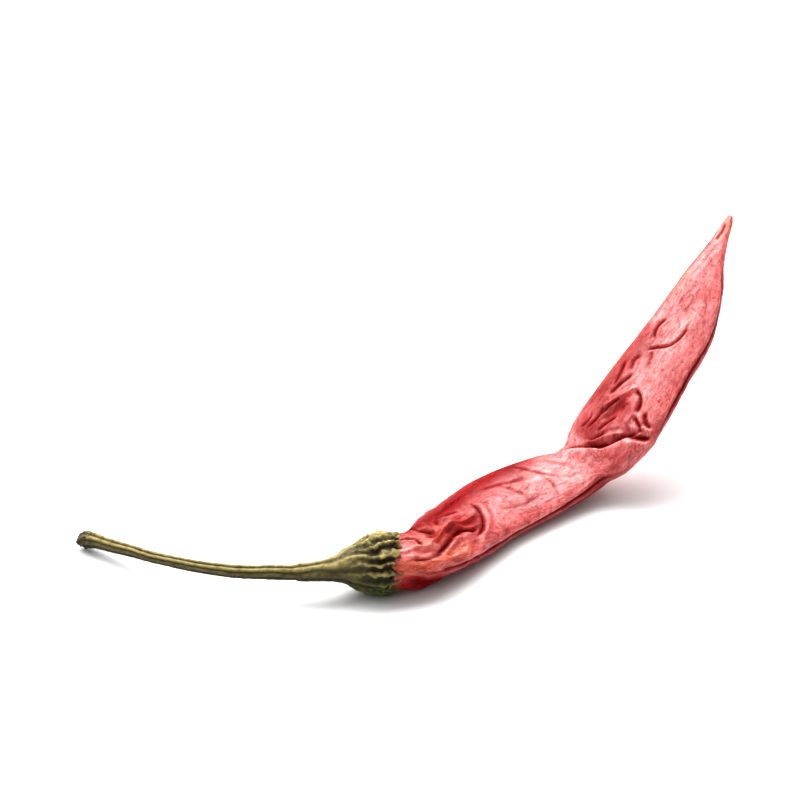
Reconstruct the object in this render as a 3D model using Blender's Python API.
"""A dried chilli pepper, lying on a table as it was picked and dried.

It comes apart into two pieces: the shrunken red pod, and the stalk whose flared end, the calyx,
caps the pod's neck. Metres, +Z up. The table is z = 0, +X runs from the stalk's free end to the
pod's tip, and the origin is under the middle of the whole pepper.
"""

import bmesh
import bpy
import math
from mathutils import Matrix, Vector

# The pod
POD_LENGTH = 0.080  # along its own curve, neck to tip
POD_WIDTH = 0.0126  # across the flattened belly
POD_THICKNESS = 0.0066  # through the flattened belly
POD_TIP = 0.0009  # diameter of the blunt tip
POD_RISE = 0.0294  # how far the pod's tip climbs above its lying belly

# The stalk, and the calyx it flares into
STALK_LENGTH = 0.0490  # along its curve, calyx rim to free end
STALK_DIAMETER = 0.0021
CALYX_DIAMETER = 0.0083
CALYX_LENGTH = 0.0105  # the flare, rim to slender stalk
CALYX_DRAWN_IN = 0.00025  # the rim's radius is this much less than the widest one
CALYX_WALL = 0.0004  # thickness of the rim round the pod's neck
CUP_DEPTH = 0.0015  # how far the neck stands in the calyx

FIT_GAP = 0.0003  # between the neck and the calyx, all round
POD_NECK = CALYX_DIAMETER - 2 * (CALYX_DRAWN_IN + CALYX_WALL + FIT_GAP)  # its diameter fills the cup
PRESS = 0.00025  # what lies on the table is flattened by this much
TABLE_THICKNESS = 0.02
WELD = 0.00001  # points closer than this are one

POD_RINGS = 64
POD_SIDES = 36
STALK_POINTS = 46
STALK_BEVEL_RESOLUTION = 6

# Station tables: share of the length, then the value there. Headings are degrees round from +X,
# shares of width and thickness are of the belly's, and rise is a share of POD_RISE.
POD_HEADING = (
    (0.00, -8), (0.025, -6), (0.07, 16), (0.11, 24), (0.19, 27), (0.27, 18), (0.33, 14),
    (0.44, 13), (0.49, 22), (0.54, 27), (0.58, 21), (0.63, 17), (0.70, 17), (0.77, 28),
    (0.83, 36), (0.90, 36), (1.00, 45),
)
POD_WIDTH_SHARE = (
    (0.07, 0.76), (0.15, 0.93), (0.26, 1.02), (0.40, 0.97), (0.50, 0.96), (0.60, 0.98),
    (0.74, 0.88), (0.81, 0.73), (0.87, 0.55), (0.91, 0.36), (0.97, 0.15), (1.00, 0.0),
)
POD_THICKNESS_SHARE = (
    (0.07, 1.20), (0.15, 1.10), (0.26, 1.00), (0.40, 0.97), (0.50, 0.92), (0.60, 0.92),
    (0.74, 0.84), (0.81, 0.74), (0.87, 0.62), (0.91, 0.46), (0.97, 0.24), (1.00, 0.0),
)
POD_ROLL = ((0.0, 0), (0.07, 4), (0.20, 12), (0.34, 11), (0.45, 6), (0.55, 3), (0.70, 0), (1.0, 0))
POD_RISE_SHARE = (
    (0.0, 0.0), (0.40, 0.0), (0.44, 0.008), (0.48, 0.045), (0.52, 0.12), (0.56, 0.205), (0.60, 0.285),
    (0.66, 0.40), (0.73, 0.536), (0.80, 0.663), (0.86, 0.775), (0.91, 0.86), (0.97, 0.955), (1.0, 1.0),
)
NECK_SHARE = 0.07  # the round neck has become the oval pod by here
SETTLE_SHARE = 0.18  # and the pod has come down from the calyx onto the table within this much

STALK_HEADING = (
    (0.0, 172), (0.10, 171), (0.15, 170), (0.22, 163), (0.31, 160), (0.41, 153), (0.55, 140),
    (0.68, 128), (0.81, 120), (0.92, 118), (1.0, 121),
)
STALK_HEIGHT_SHARE = (
    (0.0, 1.0), (0.15, 1.03), (0.27, 1.08), (0.34, 1.10), (0.48, 1.05), (0.62, 0.92), (0.74, 0.78),
    (0.88, 0.55), (0.97, 0.28), (1.0, 0.0),
)
STALK_THICKNESS_SHARE = (
    (0.0, 1.08), (0.4, 1.0), (0.8, 0.90), (0.93, 0.95), (0.98, 1.18), (1.0, 1.05),
)
# Share of the calyx's length from its rim, then how far the radius stands between the stalk's (0)
# and the calyx's widest (1).
CALYX_FLARE = (
    (0.22, 1.0), (0.35, 0.98), (0.50, 0.74), (0.64, 0.44), (0.78, 0.20), (0.90, 0.06), (1.0, 0.0),
)


def read(table, share):
    """The table's value at a share of the length, on a smooth curve through its stations."""
    last = len(table) - 1
    if share <= table[0][0]:
        return table[0][1]
    if share >= table[last][0]:
        return table[last][1]
    i = next(k for k in range(last) if share <= table[k + 1][0])
    (s0, v0), (s1, v1) = table[i], table[i + 1]
    before, after = table[max(i - 1, 0)], table[min(i + 2, last)]
    slope0 = (v1 - before[1]) / (s1 - before[0])
    slope1 = (after[1] - v0) / (after[0] - s0)
    span = s1 - s0
    t = (share - s0) / span
    return (
        (2 * t**3 - 3 * t**2 + 1) * v0
        + (t**3 - 2 * t**2 + t) * span * slope0
        + (3 * t**2 - 2 * t**3) * v1
        + (t**3 - t**2) * span * slope1
    )


def eased(share):
    share = min(max(share, 0.0), 1.0)
    return share * share * (3 - 2 * share)


def from_neck(share, neck, belly):
    """A size that starts as the neck's and has become the belly's by NECK_SHARE."""
    cup = CUP_DEPTH / POD_LENGTH
    return neck + (belly - neck) * eased((share - cup) / (NECK_SHARE - cup))


def pod_width(share):
    return max(from_neck(share, POD_NECK, POD_WIDTH * read(POD_WIDTH_SHARE, share)), POD_TIP)


def pod_thickness(share):
    return max(from_neck(share, POD_NECK, POD_THICKNESS * read(POD_THICKNESS_SHARE, share)), POD_TIP)


def neck_height():
    """The calyx lies on the table, so it sets the height of the neck."""
    return CALYX_DIAMETER / 2 - PRESS


def pod_height(share):
    """Height of the pod's middle line: its belly lies on the table, and then it climbs."""
    roll = math.radians(read(POD_ROLL, share))
    stand = math.hypot(pod_width(share) * math.sin(roll), pod_thickness(share) * math.cos(roll))
    lying = stand / 2 - PRESS
    settled = eased((share - CUP_DEPTH / POD_LENGTH) / SETTLE_SHARE)
    return neck_height() * (1 - settled) + lying * settled + POD_RISE * read(POD_RISE_SHARE, share)


def walk(length, steps, heading, height):
    """Points along a curve of that length from the origin, with a heading and a height at each share."""
    points = [Vector((0.0, 0.0, height(0.0)))]
    for k in range(steps):
        here, there = k / steps, (k + 1) / steps
        climb = height(there) - height(here)
        along = math.sqrt(max((length / steps) ** 2 - climb**2, 0.0))
        turn = math.radians(heading((here + there) / 2))
        points.append(points[-1] + Vector((along * math.cos(turn), along * math.sin(turn), climb)))
    return points


def directions(points):
    """Unit directions along the points, each taken between its two neighbours."""
    last = len(points) - 1
    return [(points[min(i + 1, last)] - points[max(i - 1, 0)]).normalized() for i in range(last + 1)]


def section_frame(middle, along, roll):
    """A matrix whose X is across the flattened section, Y out of its upper face and Z along the pod."""
    across = Vector((0, 0, 1)).cross(along).normalized()
    out = along.cross(across)
    turned = across * math.cos(roll) + out * math.sin(roll)
    face = out * math.cos(roll) - across * math.sin(roll)
    frame = Matrix((turned, face, along)).transposed().to_4x4()
    frame.translation = middle
    return frame


def loft(name, frames, radii, sides):
    """A closed mesh through oval sections: one frame and one (half width, half thickness) for each."""
    bm = bmesh.new()
    rings = []
    for frame, (half_width, half_thickness) in zip(frames, radii):
        ring = []
        for k in range(sides):
            turn = 2 * math.pi * k / sides
            corner = Vector((half_width * math.cos(turn), half_thickness * math.sin(turn), 0))
            ring.append(bm.verts.new(frame @ corner))
        rings.append(ring)
    for ring, following in zip(rings, rings[1:]):
        for k in range(sides):
            after = (k + 1) % sides
            bm.faces.new((ring[k], ring[after], following[after], following[k]))
    bm.faces.new(reversed(rings[0]))
    bm.faces.new(rings[-1])
    bmesh.ops.recalc_face_normals(bm, faces=bm.faces)
    mesh = bpy.data.meshes.new(name)
    bm.to_mesh(mesh)
    bm.free()
    return bpy.data.objects.new(name, mesh)


def finish_of(name, colour, roughness):
    material = bpy.data.materials.new(name)
    material.use_nodes = True
    shader = material.node_tree.nodes["Principled BSDF"]
    shader.inputs["Base Color"].default_value = (*colour, 1.0)
    shader.inputs["Roughness"].default_value = roughness
    shader.inputs["Metallic"].default_value = 0.0
    return material


def cut(piece, cutter):
    boolean = piece.modifiers.new("cut_by_" + cutter.name, "BOOLEAN")
    boolean.operation = "DIFFERENCE"
    boolean.solver = "EXACT"
    boolean.object = cutter


def make_pod():
    points = walk(POD_LENGTH, POD_RINGS, lambda s: read(POD_HEADING, s), pod_height)
    shares = [k / POD_RINGS for k in range(POD_RINGS + 1)]
    frames = [
        section_frame(middle, along, math.radians(read(POD_ROLL, share)))
        for middle, along, share in zip(points, directions(points), shares)
    ]
    radii = [(pod_width(share) / 2, pod_thickness(share) / 2) for share in shares]
    pod = loft("pod", frames, radii, POD_SIDES)
    pod.data.shade_smooth()
    pod.data.materials.append(finish_of("dried_red_skin", (0.52, 0.02, 0.03), 0.42))
    return pod, frames


def make_neck_cutter(frames):
    """The space the neck needs in the calyx: the neck itself, larger by the gap all round."""
    bottom, mouth = frames[0].copy(), frames[0].copy()
    along = frames[0].to_3x3() @ Vector((0, 0, 1))
    bottom.translation -= along * FIT_GAP
    mouth.translation += along * (2 * CUP_DEPTH)  # well clear of the rim
    radius = POD_NECK / 2 + FIT_GAP
    return loft("neck_space", [bottom, mouth], [(radius, radius)] * 2, POD_SIDES)


def calyx_radius(distance):
    """Radius of the stalk at a distance from the calyx's rim."""
    slender = STALK_DIAMETER / 2 * read(STALK_THICKNESS_SHARE, distance / STALK_LENGTH)
    flare = CALYX_DIAMETER / 2 - slender
    share = distance / CALYX_LENGTH
    widest = CALYX_FLARE[0][0]
    if share < widest:
        return CALYX_DIAMETER / 2 - CALYX_DRAWN_IN * (1 - share / widest) ** 2
    return slender + flare * read(CALYX_FLARE, share)


def stalk_height(share):
    """Height of the stalk's middle line, from the neck's down to its free end on the table."""
    end = STALK_DIAMETER / 2 * STALK_THICKNESS_SHARE[-1][1] - PRESS
    return end + (neck_height() - end) * read(STALK_HEIGHT_SHARE, share)


def make_stalk(rim):
    """The stalk as one tube that flares into the calyx; rim is where the calyx's rim stands."""
    points = walk(STALK_LENGTH, STALK_POINTS - 1, lambda s: read(STALK_HEADING, s), stalk_height)
    shift = rim - points[0]
    shift.z = 0
    curve = bpy.data.curves.new("stalk_line", "CURVE")
    curve.dimensions = "3D"
    curve.twist_mode = "Z_UP"
    curve.bevel_depth = STALK_DIAMETER / 2
    curve.bevel_resolution = STALK_BEVEL_RESOLUTION
    curve.use_fill_caps = True
    spline = curve.splines.new("POLY")
    spline.points.add(len(points) - 1)
    for k, (control, point) in enumerate(zip(spline.points, points)):
        control.co = (*(point + shift), 1.0)
        control.radius = calyx_radius(STALK_LENGTH * k / (STALK_POINTS - 1)) / curve.bevel_depth
    line = bpy.data.objects.new("stalk_line", curve)
    bpy.context.scene.collection.objects.link(line)
    bpy.context.view_layer.update()
    graph = bpy.context.evaluated_depsgraph_get()
    mesh = bpy.data.meshes.new_from_object(line.evaluated_get(graph))
    bm = bmesh.new()
    bm.from_mesh(mesh)
    bmesh.ops.remove_doubles(bm, verts=bm.verts, dist=WELD)
    bmesh.ops.recalc_face_normals(bm, faces=bm.faces)
    bm.to_mesh(mesh)
    bm.free()
    stalk = bpy.data.objects.new("stalk_and_calyx", mesh)
    stalk.matrix_world = line.matrix_world
    bpy.data.objects.remove(line)
    stalk.data.shade_smooth()
    stalk.data.materials.clear()
    stalk.data.materials.append(finish_of("dried_olive_stalk", (0.30, 0.24, 0.07), 0.7))
    return stalk


def make_table():
    """What would sink into the table is cut off flat by it."""
    side = 3 * (POD_LENGTH + STALK_LENGTH)  # the pepper starts from the table's middle either way
    bpy.ops.mesh.primitive_cube_add(size=1, location=(0, 0, -TABLE_THICKNESS / 2))
    table = bpy.context.object
    table.name = "table_space"
    table.data.transform(Matrix.Diagonal((side, side, TABLE_THICKNESS, 1)))
    for owner in list(table.users_collection):
        owner.objects.unlink(table)
    return table


def lowest_and_highest(pieces):
    graph = bpy.context.evaluated_depsgraph_get()
    corners = []
    for piece in pieces:
        mesh = piece.evaluated_get(graph).to_mesh()
        corners += [v.co.copy() for v in mesh.vertices]
    return [[pick(c[axis] for c in corners) for axis in range(3)] for pick in (min, max)]


def main():
    for old in list(bpy.data.objects):
        bpy.data.objects.remove(old)
    pepper = bpy.data.collections.new("dried_chilli_pepper")
    cutters = bpy.data.collections.new("cutters")
    for collection in (pepper, cutters):
        bpy.context.scene.collection.children.link(collection)

    pod, frames = make_pod()
    along = frames[0].to_3x3() @ Vector((0, 0, 1))
    stalk = make_stalk(frames[0].translation + along * CUP_DEPTH)
    table = make_table()
    neck = make_neck_cutter(frames)
    for piece in (pod, stalk):
        pepper.objects.link(piece)
    for cutter in (neck, table):
        cutters.objects.link(cutter)
        cutter.hide_render = True
        cutter.display_type = "WIRE"
    cut(stalk, neck)
    for piece in (pod, stalk):
        cut(piece, table)

    bpy.context.view_layer.update()
    low, high = lowest_and_highest((pod, stalk))
    middle = bpy.data.objects.new("middle_of_pepper", None)
    pepper.objects.link(middle)
    middle.location = (-(low[0] + high[0]) / 2, -(low[1] + high[1]) / 2, 0)
    for child in (pod, stalk, table, neck):
        child.parent = middle


main()
